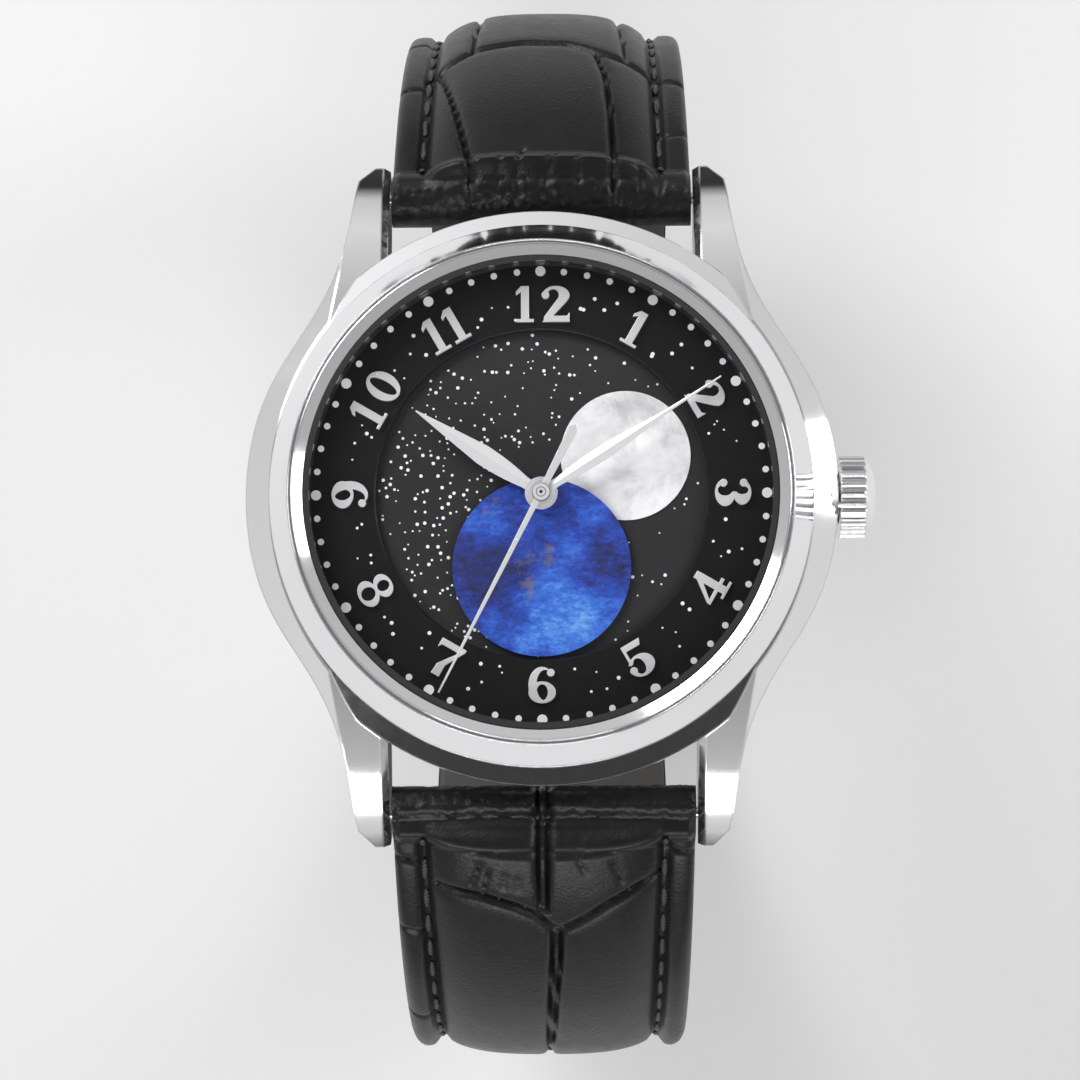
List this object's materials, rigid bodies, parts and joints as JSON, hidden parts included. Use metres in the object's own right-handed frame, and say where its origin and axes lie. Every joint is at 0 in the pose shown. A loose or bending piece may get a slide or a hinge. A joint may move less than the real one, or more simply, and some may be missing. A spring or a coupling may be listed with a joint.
{
  "type": "moon phase watch",
  "caption": "Round steel dress watch with applied numerals, a turning sky disc with a moon, a fixed earth and a buckled padded leather strap.",
  "frame": {"origin": "centre of the case back's flat outer face", "axes": "+Z from the case back to the dial, +Y to twelve o'clock, +X to the crown"},
  "size_m": [0.0449, 0.0825, 0.0607],
  "materials": {
    "polished_steel": "mirror polished stainless steel",
    "case_back_steel": "circular brushed stainless steel",
    "buckle_steel": "polished stainless steel",
    "plain_steel": "fine turned steel",
    "bridge_metal": "rhodium plated, fine striped",
    "gilt_brass": "gilt, circular grained",
    "spring_metal": "tempered spring alloy",
    "jewel_ruby": "polished synthetic ruby",
    "sapphire": "polished, coated crystal",
    "black_rubber": "moulded seal rubber",
    "dial_black": "satin black lacquer",
    "sky": "grained dark grey with printed stars",
    "moon_pearl": "pearly white with soft grey seas",
    "earth_blue": "polished deep blue with green and white flecks",
    "strap_leather": "black embossed scale grain, semi-matt",
    "lining_leather": "smooth black calf lining"
  },
  "bodies": {
    "case": {"mid_case": "polished_steel", "bezel": "polished_steel", "crystal": "sapphire", "crystal_gasket": "black_rubber", "dial_flange": "dial_black", "case_back": "case_back_steel", "back_glass": "sapphire", "back_gasket": "black_rubber", "movement_ring": "plain_steel", "crown_tube": "plain_steel", "dial": "dial_black", "minute_markers": "polished_steel", "hour_numerals": "polished_steel", "centre_tube": "plain_steel", "earth_plate": "earth_blue", "main_plate": "bridge_metal", "barrel_bridge": "bridge_metal", "train_bridge": "bridge_metal", "balance_cock": "bridge_metal", "jewels": "jewel_ruby", "bridge_screws": "plain_steel", "rotor_bearing": "plain_steel", "spring_bars": "plain_steel"},
    "crown_slide": {"crown_gasket": "black_rubber"},
    "crown_and_stem": {"crown": "polished_steel", "winding_stem": "plain_steel"},
    "winding_pinion": {"winding_pinion": "plain_steel"},
    "sliding_pinion": {"sliding_pinion": "plain_steel"},
    "crown_wheel": {"crown_wheel": "plain_steel"},
    "ratchet": {"ratchet_wheel": "plain_steel", "barrel_arbor": "plain_steel"},
    "fourth_arbor": {"fourth_wheel": "gilt_brass", "seconds_hand": "polished_steel"},
    "third_arbor": {"third_wheel": "gilt_brass"},
    "centre_arbor": {"centre_wheel": "gilt_brass"},
    "barrel_drum": {"barrel": "gilt_brass", "barrel_cover": "gilt_brass", "mainspring": "spring_metal"},
    "escape_arbor": {"escape_wheel": "gilt_brass"},
    "fork": {"pallet_fork": "plain_steel"},
    "balance": {"balance_wheel": "gilt_brass", "hairspring": "spring_metal"},
    "minute_arbor": {"cannon_pinion": "plain_steel", "minute_hand": "polished_steel"},
    "minute_wheel_arbor": {"minute_wheel": "gilt_brass"},
    "hour_arbor": {"hour_wheel": "gilt_brass", "hour_hand": "polished_steel"},
    "moon_wheel_arbor": {"moon_wheel": "gilt_brass"},
    "sky": {"sky_disc": "sky", "moon": "moon_pearl"},
    "rotor": {"rotor": "bridge_metal"},
    "strap_12_half": {"strap_12": "strap_leather", "strap_12_lining": "lining_leather", "fixed_keeper": "strap_leather"},
    "strap_6_half": {"strap_6": "strap_leather", "strap_6_lining": "lining_leather"},
    "buckle": {"buckle_frame": "buckle_steel", "buckle_bar": "plain_steel"},
    "tang": {"buckle_tang": "buckle_steel"},
    "loose_keeper": {"free_keeper": "strap_leather"}
  },
  "joints": [
    {"name": "crown_pull", "type": "slide", "parent": "case", "child": "crown_slide", "axis": [1, 0, 0], "range_m": [0, 0.001]},
    {"name": "crown_turn", "type": "hinge", "parent": "crown_slide", "child": "crown_and_stem", "pos_m": [0.0225, 0, 0.00465], "axis": [1, 0, 0], "continuous": true},
    {"name": "winding_pinion_turn", "type": "hinge", "parent": "case", "child": "winding_pinion", "pos_m": [0.0095, 0, 0.00465], "axis": [1, 0, 0], "continuous": true},
    {"name": "sliding_pinion_shift", "type": "slide", "parent": "case", "child": "sliding_pinion", "axis": [1, 0, 0], "range_m": [-0.0006, 0]},
    {"name": "crown_wheel_turn", "type": "hinge", "parent": "case", "child": "crown_wheel", "pos_m": [0.00705, 0, 0.003], "axis": [0, 0, 1], "continuous": true},
    {"name": "ratchet_turn", "type": "hinge", "parent": "case", "child": "ratchet", "pos_m": [0.00266, 0.00571, 0.003], "axis": [0, 0, 1], "continuous": true},
    {"name": "seconds_turn", "type": "hinge", "parent": "case", "child": "fourth_arbor", "pos_m": [0, 0, 0.005], "axis": [0, 0, 1], "continuous": true},
    {"name": "third_turn", "type": "hinge", "parent": "case", "child": "third_arbor", "pos_m": [0.00047, -0.00538, 0.004], "axis": [0, 0, 1], "continuous": true},
    {"name": "centre_turn", "type": "hinge", "parent": "case", "child": "centre_arbor", "pos_m": [0, 0, 0.004], "axis": [0, 0, 1], "continuous": true},
    {"name": "barrel_turn", "type": "hinge", "parent": "case", "child": "barrel_drum", "pos_m": [0.00266, 0.00571, 0.004], "axis": [0, 0, 1], "continuous": true},
    {"name": "escape_turn", "type": "hinge", "parent": "case", "child": "escape_arbor", "pos_m": [-0.00433, -0.00303, 0.004], "axis": [0, 0, 1], "continuous": true},
    {"name": "fork_rock", "type": "hinge", "parent": "case", "child": "fork", "pos_m": [-0.00602, -0.00087, 0.004], "axis": [0, 0, 1], "range_deg": [-5, 5]},
    {"name": "balance_swing", "type": "hinge", "parent": "case", "child": "balance", "pos_m": [-0.00778, 0.00137, 0.004], "axis": [0, 0, 1], "range_deg": [-135, 135], "stiffness_Nm_per_rad": 0.00000034, "deforming": ["hairspring"]},
    {"name": "minute_turn", "type": "hinge", "parent": "case", "child": "minute_arbor", "pos_m": [0, 0, 0.008], "axis": [0, 0, 1], "continuous": true},
    {"name": "minute_wheel_turn", "type": "hinge", "parent": "case", "child": "minute_wheel_arbor", "pos_m": [-0.00229, 0.00132, 0.0065], "axis": [0, 0, 1], "continuous": true},
    {"name": "hour_turn", "type": "hinge", "parent": "case", "child": "hour_arbor", "pos_m": [0, 0, 0.0075], "axis": [0, 0, 1], "continuous": true},
    {"name": "moon_wheel_turn", "type": "hinge", "parent": "case", "child": "moon_wheel_arbor", "pos_m": [0.00564, 0.00205, 0.0068], "axis": [0, 0, 1], "continuous": true},
    {"name": "sky_turn", "type": "hinge", "parent": "case", "child": "sky", "pos_m": [0, 0, 0.0073], "axis": [0, 0, 1], "continuous": true},
    {"name": "rotor_turn", "type": "hinge", "parent": "case", "child": "rotor", "pos_m": [0, 0, 0.0016], "axis": [0, 0, 1], "continuous": true},
    {"name": "strap_12_swing", "type": "hinge", "parent": "case", "child": "strap_12_half", "pos_m": [0, 0.0223, 0.0019], "axis": [1, 0, 0], "range_deg": [0, 60], "deforming": ["strap_12", "strap_12_lining"]},
    {"name": "strap_6_swing", "type": "hinge", "parent": "case", "child": "strap_6_half", "pos_m": [0, -0.0223, 0.0019], "axis": [1, 0, 0], "range_deg": [-60, 0], "deforming": ["strap_6", "strap_6_lining"]},
    {"name": "buckle_swing", "type": "hinge", "parent": "strap_12_half", "child": "buckle", "pos_m": [0, 0.00356, -0.04431], "axis": [1, 0, 0], "range_deg": [0, 33]},
    {"name": "tang_lift", "type": "hinge", "parent": "buckle", "child": "tang", "pos_m": [0, 0.00356, -0.04431], "axis": [1, 0, 0], "range_deg": [0, 45]},
    {"name": "free_keeper_slide", "type": "hinge", "parent": "strap_12_half", "child": "loose_keeper", "pos_m": [0, 0, 0.0019], "axis": [1, 0, 0], "range_deg": [-2.5, 8]}
  ],
  "couplings": [
    {"joint": "winding_pinion_turn", "follows": "crown_turn", "ratio": 1},
    {"joint": "crown_wheel_turn", "follows": "crown_turn", "ratio": 0.42857},
    {"joint": "ratchet_turn", "follows": "crown_turn", "ratio": -0.27273},
    {"joint": "sliding_pinion_shift", "follows": "crown_pull", "ratio": -0.6},
    {"joint": "third_turn", "follows": "seconds_turn", "ratio": -0.13333},
    {"joint": "centre_turn", "follows": "seconds_turn", "ratio": 0.016667},
    {"joint": "barrel_turn", "follows": "seconds_turn", "ratio": -0.0020833},
    {"joint": "escape_turn", "follows": "seconds_turn", "ratio": -10},
    {"joint": "minute_wheel_turn", "follows": "minute_turn", "ratio": -0.33333},
    {"joint": "hour_turn", "follows": "minute_turn", "ratio": 0.083333},
    {"joint": "moon_wheel_turn", "follows": "minute_turn", "ratio": -0.015873},
    {"joint": "sky_turn", "follows": "minute_turn", "ratio": -0.0014109},
    {"joint": "strap_6_swing", "follows": "strap_12_swing", "ratio": -1}
  ]
}
